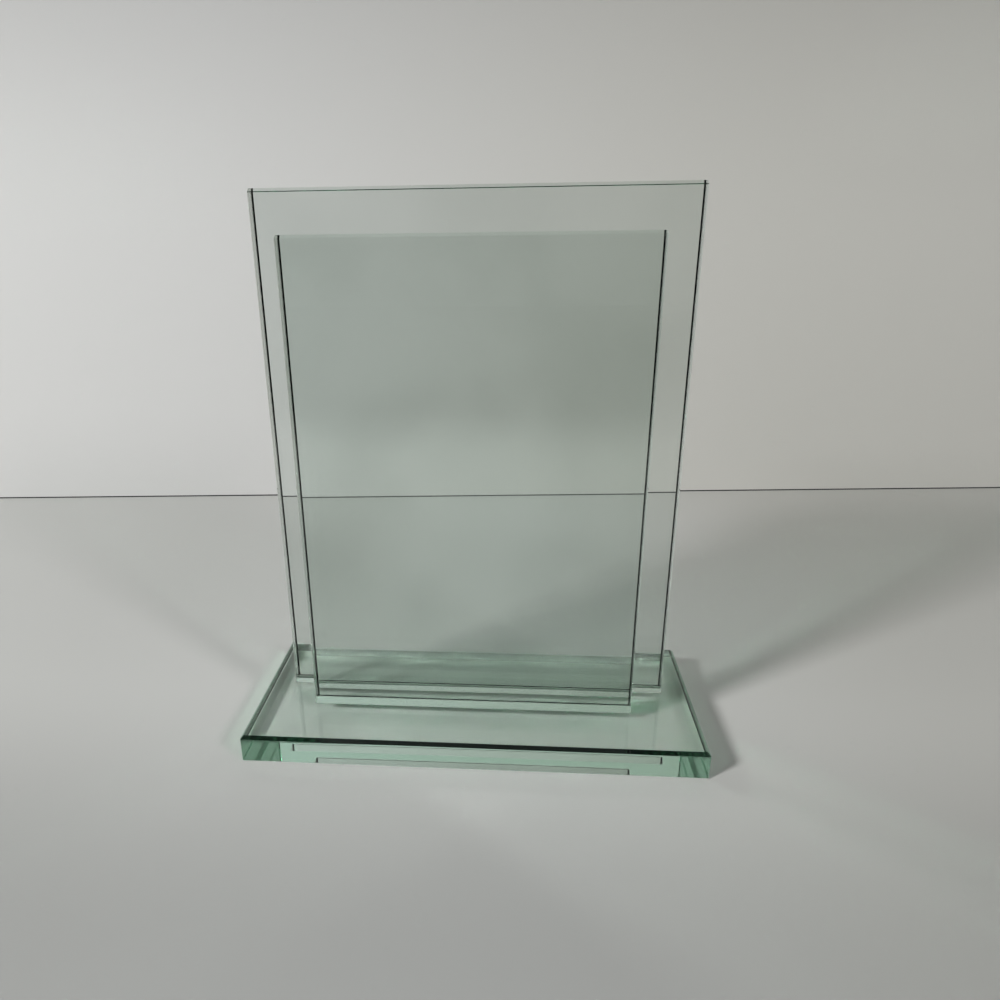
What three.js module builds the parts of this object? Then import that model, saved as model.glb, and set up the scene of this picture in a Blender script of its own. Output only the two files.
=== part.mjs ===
// A clear glass picture stand: two upright panes bonded on edge to a thick glass base.
// Millimetres, +Z up. The origin is the middle of the base's underside, and the front faces -Y.
import * as THREE from "three";

// Base plate
const baseWidth = 190.5;
const baseDepth = 79.3;
const baseThickness = 12;
const baseTopArris = 1.3; // width and height of the polished edge round the top face
const baseUndersideArris = 0.4; // lighter edge round the underside
const baseCornerEase = 0.4; // radius left on the plate's corners

// Back pane, the larger one
const backPaneWidth = 165.6;
const backPaneHeight = 209.8;
const backPaneThickness = 9.5;

// Front pane, which covers the print
const frontPaneWidth = 136.8;
const frontPaneHeight = 193.6;
const frontPaneThickness = 9.5;
const frontPaneAside = -1.15; // the front pane is bonded a little left of the middle

// Polished edges of both panes. The lower edge stays square, because it is bonded.
const paneSideArrisOnFace = 0.3; // how far a side's arris cuts into the large faces
const paneSideArrisOnEdge = 0.42; // how far it cuts into the narrow face
const paneTopArrisOnFace = 1.1; // the top's arris is wider
const paneTopArrisOnEdge = 1.05;
const paneCornerEase = 0.4; // radius left on a pane's corners

// How the panes stand
const frontSetback = 25; // from the base's front to the front pane's face
const printSlot = 6.25; // open slot between the panes, where a print stands

// Cured clear adhesive under each pane
const bondThickness = 0.25;
const bondMargin = 0.2; // the film stops this far inside the flat of the pane's lower edge

const arcSteps = 4; // facets along a rounded corner

const baseFrontY = -baseDepth / 2;
const frontPaneY = baseFrontY + frontSetback;
const backPaneY = frontPaneY + frontPaneThickness + printSlot;

const glass = new THREE.MeshStandardMaterial({
  color: 0xa6c4b6,
  roughness: 0.04,
  metalness: 0,
  transparent: true,
  opacity: 0.35,
});
const adhesive = new THREE.MeshStandardMaterial({
  color: 0xd6d8c4,
  roughness: 0.1,
  metalness: 0,
  transparent: true,
  opacity: 0.35,
});

// A rectangle with rounded corners that stands on y = 0, middle on x = 0, with its edges drawn in.
function plateOutline(width, height, cornerRadius, inset) {
  const right = width / 2 - inset.sides - cornerRadius;
  const low = inset.foot + cornerRadius;
  const high = height - inset.head - cornerRadius;
  const quarter = Math.PI / 2;
  const outline = new THREE.Shape();
  outline.absarc(right, low, cornerRadius, -quarter, 0);
  outline.absarc(right, high, cornerRadius, 0, quarter);
  outline.absarc(-right, high, cornerRadius, quarter, 2 * quarter);
  outline.absarc(-right, low, cornerRadius, 2 * quarter, 3 * quarter);
  return outline.extractPoints(arcSteps).shape;
}

// How far an arris draws the outline in at a given distance from its large face.
function insetAt(distance, arris) {
  return arris.onFace * Math.max(0, 1 - distance / arris.onEdge);
}

// A flat plate with an arris round both large faces, lofted through the outlines where the arrises start and end.
function arrisedPlate({ width, height, thickness, cornerRadius, lowerArris, upperArris }) {
  const depthsOf = (arris) => [...new Set([arris.sides.onEdge, arris.head.onEdge, arris.foot.onEdge])];
  const ascending = (a, b) => a - b;
  const lowerDepths = [0, ...depthsOf(lowerArris)].sort(ascending);
  const upperDepths = [0, ...depthsOf(upperArris)].sort(ascending).reverse();
  const ringAt = (arris, distance, level) => {
    const inset = {
      sides: insetAt(distance, arris.sides),
      head: insetAt(distance, arris.head),
      foot: insetAt(distance, arris.foot),
    };
    const outline = plateOutline(width, height, cornerRadius, inset);
    return outline.map((p) => new THREE.Vector3(p.x, p.y, level));
  };
  const rings = [
    ...lowerDepths.map((depth) => ringAt(lowerArris, depth, depth)),
    ...upperDepths.map((depth) => ringAt(upperArris, depth, thickness - depth)),
  ];
  const count = rings[0].length;
  const triangles = [];
  for (let ring = 0; ring + 1 < rings.length; ring += 1) {
    for (let i = 0; i < count; i += 1) {
      const here = ring * count + i;
      const next = ring * count + ((i + 1) % count);
      triangles.push(here, next, next + count, here, next + count, here + count);
    }
  }
  const topStart = (rings.length - 1) * count;
  for (const [a, b, c] of THREE.ShapeUtils.triangulateShape(rings[0], [])) {
    triangles.push(a, c, b, topStart + a, topStart + b, topStart + c);
  }
  const geometry = new THREE.BufferGeometry().setFromPoints(rings.flat());
  geometry.setIndex(triangles);
  geometry.computeVertexNormals();
  return geometry;
}

function makeBase() {
  const topCut = { onFace: baseTopArris, onEdge: baseTopArris };
  const undersideCut = { onFace: baseUndersideArris, onEdge: baseUndersideArris };
  const geometry = arrisedPlate({
    width: baseWidth,
    height: baseDepth,
    thickness: baseThickness,
    cornerRadius: baseCornerEase,
    lowerArris: { sides: undersideCut, head: undersideCut, foot: undersideCut },
    upperArris: { sides: topCut, head: topCut, foot: topCut },
  });
  const mesh = new THREE.Mesh(geometry, glass);
  mesh.name = "base_plate";
  mesh.position.y = baseFrontY;
  return mesh;
}

// A pane is made lying down and then stood up, so its front face looks along -Y.
function makePane(name, { width, height, thickness, aside, faceY }) {
  const sideCut = { onFace: paneSideArrisOnFace, onEdge: paneSideArrisOnEdge };
  const topCut = { onFace: paneTopArrisOnFace, onEdge: paneTopArrisOnEdge };
  const squareFoot = { onFace: 0, onEdge: paneSideArrisOnEdge };
  const arris = { sides: sideCut, head: topCut, foot: squareFoot };
  const geometry = arrisedPlate({
    width,
    height,
    thickness,
    cornerRadius: paneCornerEase,
    lowerArris: arris,
    upperArris: arris,
  });
  geometry.rotateX(Math.PI / 2);
  const mesh = new THREE.Mesh(geometry, glass);
  mesh.name = name;
  mesh.position.set(aside, faceY + thickness, baseThickness + bondThickness);
  return mesh;
}

// The film of adhesive fills the flat of the pane's square lower edge.
function makeBond(name, { width, thickness, aside, faceY }) {
  const halfLength = width / 2 - paneSideArrisOnFace - paneCornerEase - bondMargin;
  const nearY = faceY + bondMargin;
  const farY = faceY + thickness - bondMargin;
  const footprint = new THREE.Shape()
    .moveTo(-halfLength, nearY)
    .lineTo(halfLength, nearY)
    .lineTo(halfLength, farY)
    .lineTo(-halfLength, farY)
    .closePath();
  const geometry = new THREE.ExtrudeGeometry(footprint, { depth: bondThickness, bevelEnabled: false });
  const mesh = new THREE.Mesh(geometry, adhesive);
  mesh.name = name;
  mesh.position.set(aside, 0, baseThickness);
  return mesh;
}

const backPane = {
  width: backPaneWidth,
  height: backPaneHeight,
  thickness: backPaneThickness,
  aside: 0,
  faceY: backPaneY,
};
const frontPane = {
  width: frontPaneWidth,
  height: frontPaneHeight,
  thickness: frontPaneThickness,
  aside: frontPaneAside,
  faceY: frontPaneY,
};

const stand = new THREE.Group();
stand.name = "picture_stand";
stand.add(
  makeBase(),
  makeBond("back_bond", backPane),
  makePane("back_pane", backPane),
  makeBond("front_bond", frontPane),
  makePane("front_pane", frontPane),
);

export default stand;
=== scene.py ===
import math

import bmesh
import bpy
from mathutils import Matrix, Vector


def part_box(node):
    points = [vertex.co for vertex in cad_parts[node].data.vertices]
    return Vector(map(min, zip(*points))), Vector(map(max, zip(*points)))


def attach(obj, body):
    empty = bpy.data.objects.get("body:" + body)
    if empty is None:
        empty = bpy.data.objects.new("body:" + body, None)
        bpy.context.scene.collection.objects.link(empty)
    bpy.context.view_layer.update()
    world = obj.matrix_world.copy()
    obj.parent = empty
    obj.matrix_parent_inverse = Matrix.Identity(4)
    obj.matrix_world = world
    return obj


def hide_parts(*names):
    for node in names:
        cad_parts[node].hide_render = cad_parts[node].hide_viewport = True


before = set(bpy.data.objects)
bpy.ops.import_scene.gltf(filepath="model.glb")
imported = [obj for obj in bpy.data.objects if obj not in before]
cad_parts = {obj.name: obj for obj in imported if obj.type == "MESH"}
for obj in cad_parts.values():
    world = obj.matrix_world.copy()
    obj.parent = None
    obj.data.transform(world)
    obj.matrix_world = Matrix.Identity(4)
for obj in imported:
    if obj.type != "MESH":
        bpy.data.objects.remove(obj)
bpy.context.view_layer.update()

MM = 0.001
NEAR = 0.001 * MM
X, Y, Z = 0, 1, 2

# How much of a face's normal points along an axis
SQUARE_ON = 0.99
SIDEWAYS = 0.6
SLANTED = 0.1

# Polished edges
BASE_TOP_ARRIS = 1.3 * MM
BASE_UNDERSIDE_ARRIS = 0.4 * MM
BASE_CORNER = 0.4 * MM
BASE_CORNER_FACETS = 3
SIDE_ARRIS_ON_FACE = 0.42 * MM
SIDE_ARRIS_ON_EDGE = 0.5 * MM
TOP_ARRIS_ON_FACE = 1.1 * MM
TOP_ARRIS_ON_EDGE = 1.05 * MM
FOOT_ARRIS = 0.35 * MM

# Bonded joints
FILM_GAP = 0.02 * MM
ADHESIVE_TINT = (0.8, 0.8, 0.6)
ADHESIVE_DENSITY = 10.0

# Glass
GLASS_IOR = 1.52
BONDED_IOR = 1.0
WHITE = (1, 1, 1)
BASE_CLARITY = (0.95, 0.96, 0.945)
PANE_CLARITY = (0.89, 0.9, 0.89)
SMUDGE_SCALE = 16.0
SMUDGE_STOPS = [(0.4, WHITE), (0.7, (0.94, 0.945, 0.94))]
GLASS_TINT = (0.70, 0.905, 0.815)
GLASS_DENSITY = 20.0

# How far a face is ground: a pane's sides are satin and the base's sides are matt, with a green darkened as
# painted shade; the top level is no grinding but a near-black painted shade on the back arrises of the
# panes.
POLISHED = 0.0
SATIN = 0.2
MATT = 0.6
SHADED_ARRIS = 1.0
SATIN_ROUGHNESS = 0.22
# The matt sides' green is partly their own and partly darkened as painted shade for the dark bands along
# the base's sides.
MATT_GREEN_AND_SHADE = (0.26, 0.45, 0.34)
# Near black painted on the back arrises of the panes: a painted shade for the dark lines along their edges.
ARRIS_SHADE_COLOUR = (0.004, 0.008, 0.006)
GRAIN_SCALE = 700.0
GRAIN_RANGE = (0.6, 1.4)

# Camera, from a fit of the plates' edges in the photograph
IMAGE_SIZE = 1000
FOCAL_PIXELS = 743.87
CENTRE_PIXEL = (457.87, 505.74)
CAMERA_PLACE = Vector((15.67, -287.03, 205.77)) * MM
CAMERA_YAW = math.radians(-4.469)
CAMERA_PITCH = math.radians(20.146)
CAMERA_ROLL = math.radians(0.780)
CAMERA_NEAREST = 1 * MM
SENSOR_WIDTH = 36.0

# Stage: a floor just under the base and a wall close behind it, both pale and matt
FLOOR_DROP = 0.2 * MM
STAGE_HALF_WIDTH = 2.5
STAGE_FRONT = -2.0
WALL_DISTANCE = 304.2 * MM
WALL_TURN = 0.0682
WALL_HEIGHT = 2.5
WALL_GAP = 0.8 * MM
RAMP_HALF_WIDTH = 0.4
SIDE_FADE = (0.45, 1.3)
# Floor tone from front to back: a painted shadow across the floor 0.13 to 0.19 m in front of the stand,
# lighter again beyond it, and fading out far in front.
FRONT_TONES = [(-0.66, 0.0), (-0.38, 1.0), (-0.28, 0.97), (-0.19, 0.665), (-0.13, 0.665), (0.02, 1.0)]
# The wall is painted darker upward from 0.18 m as painted shade, and black from 0.8 m.
HEIGHT_FADE = (0.18, 0.8)
# Colour from left to right: the floor is painted lighter in the middle as painted light, and the wall a
# little darker and warmer to the right as painted shade.
FLOOR_STOPS = [(0.2, (0.565, 0.57, 0.55)), (0.5, (0.64, 0.65, 0.63)), (0.8, (0.565, 0.565, 0.535))]
WALL_STOPS = [(0.2, (0.62, 0.62, 0.61)), (0.8, (0.58, 0.575, 0.54))]
PAINT_ROUGHNESS = 0.9
PAINT_SPECULAR = 0.1

# Light
ROOM_DIM = (0.035, 0.035, 0.035)
ROOM_TOP = (0.03, 0.03, 0.03)
ROOM_RISE = (0.3, 0.9)
LAMP_TARGET = (0.0, 0.0, 0.05)
LAMP_SIZE = 0.24
LEFT_LAMP_PLACE = (-1.01, -0.79, 0.82)
LEFT_LAMP_POWER = 19.6
RIGHT_LAMP_PLACE = (0.98, -0.85, 0.82)
RIGHT_LAMP_POWER = 7.8

# Light paths, deep enough for light that is caught between the plates
PATH_DEPTH = 32
MIRROR_DEPTH = 16


def new_piece(name, bm, material):
    """Turn a finished bmesh into an object at the origin, with its place in its mesh."""
    bmesh.ops.recalc_face_normals(bm, faces=bm.faces)
    mesh = bpy.data.meshes.new(name)
    bm.to_mesh(mesh)
    bm.free()
    mesh.materials.append(material)
    piece = bpy.data.objects.new(name, mesh)
    bpy.context.scene.collection.objects.link(piece)
    return piece


def node_box(node):
    """The lowest and highest corner of a CAD node."""
    low, high = (Vector(corner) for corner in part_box(node))
    return low, high


def block(low, high):
    """A plain block between two corners, ready to be shaped."""
    bm = bmesh.new()
    bmesh.ops.create_cube(bm, size=1.0)
    bmesh.ops.scale(bm, vec=high - low, verts=bm.verts)
    bmesh.ops.translate(bm, vec=(low + high) / 2, verts=bm.verts)
    return bm


def rising_edges(bm):
    """Edges whose ends are at different heights."""
    return [e for e in bm.edges if abs(e.verts[0].co.z - e.verts[1].co.z) > NEAR]


def rim_edges(bm, axis, level):
    """Edges that lie in the plane where one coordinate has the given value."""
    return [e for e in bm.edges if all(abs(v.co[axis] - level) < NEAR for v in e.verts)]


def cut_arris(bm, edges, width, segments=1):
    bmesh.ops.bevel(
        bm,
        geom=edges,
        offset=width,
        offset_type="OFFSET",
        affect="EDGES",
        segments=segments,
        profile=0.5,
        material=-1,
        clamp_overlap=True,
    )


def mark_faces(bm, name, amount):
    """Store on each face how much of one finish it has."""
    layer = bm.faces.layers.float.new(name)
    for face in bm.faces:
        face[layer] = float(amount(face))


def footprint(pane_node):
    """The area on which one pane stands, up to the arris at the back of its foot."""
    low, high = node_box(pane_node)
    high.y -= FOOT_ARRIS
    return low, high


def inside(point, area):
    low, high = area
    return all(low[axis] < point[axis] < high[axis] for axis in (X, Y))


def base_plate(material):
    low, high = node_box("base_plate")
    bm = block(low, high)
    cut_arris(bm, rim_edges(bm, Z, high.z), BASE_TOP_ARRIS)
    cut_arris(bm, rim_edges(bm, Z, low.z), BASE_UNDERSIDE_ARRIS)
    cut_arris(bm, rising_edges(bm), BASE_CORNER, BASE_CORNER_FACETS)

    def on_top(face):
        return face.calc_center_median().z > high.z - NEAR

    # The top face is cut along the panes' footprints, so that each is a face of its own.
    areas = [footprint(node) for node in ("back_pane", "front_pane")]
    for area in areas:
        for corner in area:
            for axis in (X, Y):
                top = [f for f in bm.faces if f.normal.z > SQUARE_ON and on_top(f)]
                parts = set(top)
                for face in top:
                    parts.update(face.edges)
                    parts.update(face.verts)
                side = Vector((0, 0, 0))
                side[axis] = 1
                bmesh.ops.bisect_plane(bm, geom=list(parts), dist=NEAR / 10, plane_co=corner, plane_no=side)
                bm.normal_update()

    def is_bonded(face):
        return on_top(face) and any(inside(face.calc_center_median(), area) for area in areas)

    mark_faces(bm, "bonded", is_bonded)
    mark_faces(bm, "finish_and_shade", lambda f: MATT if abs(f.normal.x) > SIDEWAYS else POLISHED)
    return new_piece("base_glass", bm, material)


def stretch_thickness(bm, middle, amount):
    place = Matrix.Translation(middle)
    grow = Matrix.Diagonal((1, amount, 1, 1))
    bmesh.ops.transform(bm, matrix=place @ grow @ place.inverted(), verts=bm.verts)


def pane_finish_and_shade(face):
    """Satin sides, a near-black painted shade on the arrises at the back of the sides and the foot, and
    polish elsewhere.
    """
    if abs(face.normal.x) > SQUARE_ON:
        return SATIN
    towards_edge = max(abs(face.normal.x), -face.normal.z)
    return SHADED_ARRIS if face.normal.y > SLANTED and towards_edge > SLANTED else POLISHED


def pane(name, node, material):
    low, high = node_box(node)
    middle = (low + high) / 2
    bm = block(low, high)

    # The thickness is stretched while each arris is cut, so that the cut is not at 45 degrees.
    top_ratio = TOP_ARRIS_ON_FACE / TOP_ARRIS_ON_EDGE
    stretch_thickness(bm, middle, top_ratio)
    top = [e for e in rim_edges(bm, Z, high.z) if abs(e.verts[0].co.x - e.verts[1].co.x) > NEAR]
    cut_arris(bm, top, TOP_ARRIS_ON_FACE)
    stretch_thickness(bm, middle, 1 / top_ratio)

    side_ratio = SIDE_ARRIS_ON_FACE / SIDE_ARRIS_ON_EDGE
    stretch_thickness(bm, middle, side_ratio)
    sides = rim_edges(bm, X, low.x) + rim_edges(bm, X, high.x)
    foot = set(rim_edges(bm, Z, low.z))
    cut_arris(bm, [e for e in sides if e not in foot], SIDE_ARRIS_ON_FACE)
    stretch_thickness(bm, middle, 1 / side_ratio)

    back = set(rim_edges(bm, Y, high.y))
    heel = [e for e in rim_edges(bm, Z, low.z) if e in back]
    cut_arris(bm, heel, FOOT_ARRIS)
    bm.normal_update()

    def is_bonded(face):
        return face.normal.z < -SQUARE_ON and face.calc_center_median().z < low.z + NEAR

    mark_faces(bm, "bonded", is_bonded)
    mark_faces(bm, "finish_and_shade", pane_finish_and_shade)
    return new_piece(name, bm, material)


def bond_film(name, node, pane_node, material):
    """Cured adhesive that fills the gap under a pane up to the edges of its foot."""
    film_low, film_high = node_box(node)
    foot_low, foot_high = footprint(pane_node)
    low = Vector((foot_low.x, foot_low.y, film_low.z))
    high = Vector((foot_high.x, foot_high.y, film_high.z))
    gap = Vector((FILM_GAP, FILM_GAP, FILM_GAP))
    bm = block(low + gap, high - gap)
    bm.normal_update()
    mark_faces(bm, "bonded", lambda f: abs(f.normal.z) > SQUARE_ON)
    return new_piece(name, bm, material)


def face_value(tree, name):
    attribute = tree.nodes.new("ShaderNodeAttribute")
    attribute.attribute_name = name
    return attribute.outputs["Fac"]


def speckle(tree, scale):
    where = tree.nodes.new("ShaderNodeTexCoord")
    noise = tree.nodes.new("ShaderNodeTexNoise")
    noise.inputs["Scale"].default_value = scale
    tree.links.new(where.outputs["Object"], noise.inputs["Vector"])
    return noise.outputs["Fac"]


def rescale(tree, value, from_range, to_range):
    """Map one range of values onto another."""
    step = tree.nodes.new("ShaderNodeMapRange")
    step.inputs["From Min"].default_value = from_range[0]
    step.inputs["From Max"].default_value = from_range[1]
    step.inputs["To Min"].default_value = to_range[0]
    step.inputs["To Max"].default_value = to_range[1]
    tree.links.new(value, step.inputs["Value"])
    return step.outputs["Result"]


def fade(tree, value, start, end):
    """A smooth step from 0 to 1 between two values."""
    result = rescale(tree, value, (start, end), (0.0, 1.0))
    result.node.interpolation_type = "SMOOTHSTEP"
    return result


def combine(tree, operation, first, second):
    """Work out one number from two, of which the second may be a plain value."""
    node = tree.nodes.new("ShaderNodeMath")
    node.operation = operation
    tree.links.new(first, node.inputs[0])
    if isinstance(second, float):
        node.inputs[1].default_value = second
    else:
        tree.links.new(second, node.inputs[1])
    return node.outputs[0]


def multiply_colours(tree, first, second):
    node = tree.nodes.new("ShaderNodeVectorMath")
    node.operation = "MULTIPLY"
    tree.links.new(first, node.inputs[0])
    tree.links.new(second, node.inputs[1])
    return node.outputs["Vector"]


def colour_ramp(tree, value, stops):
    ramp = tree.nodes.new("ShaderNodeValToRGB")
    ramp.color_ramp.interpolation = "EASE"
    while len(ramp.color_ramp.elements) < len(stops):
        ramp.color_ramp.elements.new(0.5)
    for element, (place, colour) in zip(ramp.color_ramp.elements, stops):
        element.position = place
        element.color = (*colour, 1)
    tree.links.new(value, ramp.inputs["Fac"])
    return ramp.outputs["Color"]


def tone_along(tree, value, tones):
    """A level between 0 and 1 that follows a list of places and levels."""
    first = tones[0][0]
    last = tones[-1][0]
    along = rescale(tree, value, (first, last), (0.0, 1.0))
    stops = [((place - first) / (last - first), (level, level, level)) for place, level in tones]
    return colour_ramp(tree, along, stops)


def clear_glass(name, clarity, tint, density):
    """Clear glass with faint smudges and ground edges, whose bonded faces do not bend light. Matt edges are
    tinted mirrors in a green darkened as painted shade, and the back arrises of the panes are painted near
    black as painted shade.
    """
    material = bpy.data.materials.new(name)
    material.use_nodes = True
    tree = material.node_tree
    shader = tree.nodes["Principled BSDF"]
    shader.inputs["Transmission Weight"].default_value = 1.0
    bonded = face_value(tree, "bonded")
    finish_and_shade = face_value(tree, "finish_and_shade")
    tinted_edge = fade(tree, finish_and_shade, SATIN, MATT)

    film = colour_ramp(tree, bonded, [(0.0, clarity), (1.0, WHITE)])
    smudges = colour_ramp(tree, speckle(tree, SMUDGE_SCALE), SMUDGE_STOPS)
    # Satin sides stay clear, matt sides get a green darkened as painted shade, and the shaded arrises get a
    # near-black painted shade; both become tinted mirrors through Metallic.
    edges = colour_ramp(tree, finish_and_shade, [(SATIN, WHITE), (MATT, MATT_GREEN_AND_SHADE), (SHADED_ARRIS, ARRIS_SHADE_COLOUR)])
    grain = tree.nodes.new("ShaderNodeMix")
    grain.inputs["A"].default_value = 1.0
    tree.links.new(tinted_edge, grain.inputs["Factor"])
    uneven = rescale(tree, speckle(tree, GRAIN_SCALE), (0.0, 1.0), GRAIN_RANGE)
    tree.links.new(uneven, grain.inputs["B"])
    clear_tone = multiply_colours(tree, film, smudges)
    edge_tone = multiply_colours(tree, edges, grain.outputs["Result"])
    tree.links.new(multiply_colours(tree, clear_tone, edge_tone), shader.inputs["Base Color"])

    satin = fade(tree, finish_and_shade, POLISHED, SATIN)
    tree.links.new(combine(tree, "MULTIPLY", satin, SATIN_ROUGHNESS), shader.inputs["Roughness"])
    tree.links.new(tinted_edge, shader.inputs["Metallic"])
    bend = rescale(tree, bonded, (0.0, 1.0), (GLASS_IOR, BONDED_IOR))
    tree.links.new(bend, shader.inputs["IOR"])

    body = tree.nodes.new("ShaderNodeVolumeAbsorption")
    body.inputs["Color"].default_value = (*tint, 1)
    body.inputs["Density"].default_value = density
    tree.links.new(body.outputs["Volume"], tree.nodes["Material Output"].inputs["Volume"])
    return material


def stage_paint(name, stops):
    """Pale matt paint with painted light and shade: a colour that changes a little from left to right, a
    painted shadow across the floor in front, a wall darker towards its top, and fading out far from the
    stand.
    """
    material = bpy.data.materials.new(name)
    material.use_nodes = True
    tree = material.node_tree
    shader = tree.nodes["Principled BSDF"]
    shader.inputs["Roughness"].default_value = PAINT_ROUGHNESS
    shader.inputs["Specular IOR Level"].default_value = PAINT_SPECULAR
    where = tree.nodes.new("ShaderNodeTexCoord")
    split = tree.nodes.new("ShaderNodeSeparateXYZ")
    tree.links.new(where.outputs["Object"], split.inputs["Vector"])
    across = rescale(tree, split.outputs["X"], (-RAMP_HALF_WIDTH, RAMP_HALF_WIDTH), (0.0, 1.0))
    colour = colour_ramp(tree, across, stops)
    aside = combine(tree, "ABSOLUTE", split.outputs["X"], 0.0)
    level = fade(tree, aside, SIDE_FADE[1], SIDE_FADE[0])
    level = combine(tree, "MULTIPLY", level, tone_along(tree, split.outputs["Y"], FRONT_TONES))
    level = combine(tree, "MULTIPLY", level, fade(tree, split.outputs["Z"], HEIGHT_FADE[1], HEIGHT_FADE[0]))
    paint = tree.nodes.new("ShaderNodeVectorMath")
    paint.operation = "SCALE"
    tree.links.new(colour, paint.inputs[0])
    tree.links.new(level, paint.inputs["Scale"])
    tree.links.new(paint.outputs["Vector"], shader.inputs["Base Color"])
    return material


def sheet(name, corners, material):
    bm = bmesh.new()
    bm.faces.new([bm.verts.new(corner) for corner in corners])
    return new_piece(name, bm, material)


def stage():
    wall_left = WALL_DISTANCE - WALL_TURN * STAGE_HALF_WIDTH
    wall_right = WALL_DISTANCE + WALL_TURN * STAGE_HALF_WIDTH
    floor = sheet(
        "floor",
        [
            (-STAGE_HALF_WIDTH, STAGE_FRONT, -FLOOR_DROP),
            (STAGE_HALF_WIDTH, STAGE_FRONT, -FLOOR_DROP),
            (STAGE_HALF_WIDTH, wall_right, -FLOOR_DROP),
            (-STAGE_HALF_WIDTH, wall_left, -FLOOR_DROP),
        ],
        stage_paint("floor_paint", FLOOR_STOPS),
    )
    backdrop = sheet(
        "backdrop",
        [
            (-STAGE_HALF_WIDTH, wall_left, WALL_GAP),
            (STAGE_HALF_WIDTH, wall_right, WALL_GAP),
            (STAGE_HALF_WIDTH, wall_right, WALL_HEIGHT),
            (-STAGE_HALF_WIDTH, wall_left, WALL_HEIGHT),
        ],
        stage_paint("backdrop_paint", WALL_STOPS),
    )


def soft_lamp(name, place, power):
    data = bpy.data.lights.new(name, "AREA")
    data.shape = "DISK"
    data.size = LAMP_SIZE
    data.energy = power
    lamp = bpy.data.objects.new(name, data)
    bpy.context.scene.collection.objects.link(lamp)
    lamp.location = place
    lamp.rotation_mode = "QUATERNION"
    lamp.rotation_quaternion = (Vector(LAMP_TARGET) - Vector(place)).to_track_quat("-Z", "Y")


def room_light():
    """A dim room with a soft lamp on either side of the camera."""
    world = bpy.data.worlds.new("room")
    bpy.context.scene.world = world
    world.use_nodes = True
    tree = world.node_tree
    where = tree.nodes.new("ShaderNodeTexCoord")
    split = tree.nodes.new("ShaderNodeSeparateXYZ")
    tree.links.new(where.outputs["Generated"], split.inputs["Vector"])
    upward = fade(tree, split.outputs["Z"], ROOM_RISE[0], ROOM_RISE[1])
    colour = colour_ramp(tree, upward, [(0.0, ROOM_DIM), (1.0, ROOM_TOP)])
    tree.links.new(colour, tree.nodes["Background"].inputs["Color"])
    soft_lamp("left_lamp", LEFT_LAMP_PLACE, LEFT_LAMP_POWER)
    soft_lamp("right_lamp", RIGHT_LAMP_PLACE, RIGHT_LAMP_POWER)


def photo_camera():
    data = bpy.data.cameras.new("photo_view")
    camera = bpy.data.objects.new("photo_view", data)
    bpy.context.scene.collection.objects.link(camera)
    bpy.context.scene.camera = camera
    level = math.cos(CAMERA_PITCH)
    ahead = Vector((math.sin(CAMERA_YAW) * level, math.cos(CAMERA_YAW) * level, -math.sin(CAMERA_PITCH)))
    right = Vector((math.cos(CAMERA_YAW), -math.sin(CAMERA_YAW), 0))
    right = Matrix.Rotation(CAMERA_ROLL, 3, ahead) @ right
    up = right.cross(ahead)
    data.sensor_width = SENSOR_WIDTH
    data.lens = SENSOR_WIDTH * FOCAL_PIXELS / IMAGE_SIZE
    data.shift_x = 0.5 - CENTRE_PIXEL[0] / IMAGE_SIZE
    data.shift_y = CENTRE_PIXEL[1] / IMAGE_SIZE - 0.5
    data.clip_start = CAMERA_NEAREST
    turn = Matrix((right, up, -ahead)).transposed()
    camera.matrix_world = Matrix.Translation(CAMERA_PLACE) @ turn.to_4x4()


photo_camera()
room_light()
stage()

base_glass = clear_glass("base_float_glass", BASE_CLARITY, GLASS_TINT, GLASS_DENSITY)
pane_glass = clear_glass("pane_float_glass", PANE_CLARITY, GLASS_TINT, GLASS_DENSITY)
adhesive = clear_glass("cured_adhesive", PANE_CLARITY, ADHESIVE_TINT, ADHESIVE_DENSITY)

pieces = [
    (base_plate(base_glass), "base_plate", "clear_glass"),
    (pane("back_glass", "back_pane", pane_glass), "back_pane", "clear_glass"),
    (pane("front_glass", "front_pane", pane_glass), "front_pane", "clear_glass"),
    (bond_film("back_film", "back_bond", "back_pane", adhesive), "back_bond", "clear_adhesive"),
    (bond_film("front_film", "front_bond", "front_pane", adhesive), "front_bond", "clear_adhesive"),
]
for piece, node, slot in pieces:
    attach(piece, "root")
    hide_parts(node)

scene = bpy.context.scene
scene.view_settings.view_transform = "Standard"
scene.cycles.max_bounces = PATH_DEPTH
scene.cycles.transmission_bounces = PATH_DEPTH
scene.cycles.glossy_bounces = MIRROR_DEPTH
scene.cycles.sample_clamp_indirect = 0.0
scene.cycles.blur_glossy = 0.0
scene.cycles.use_guiding = True
scene.cycles.guiding_training_samples = 0
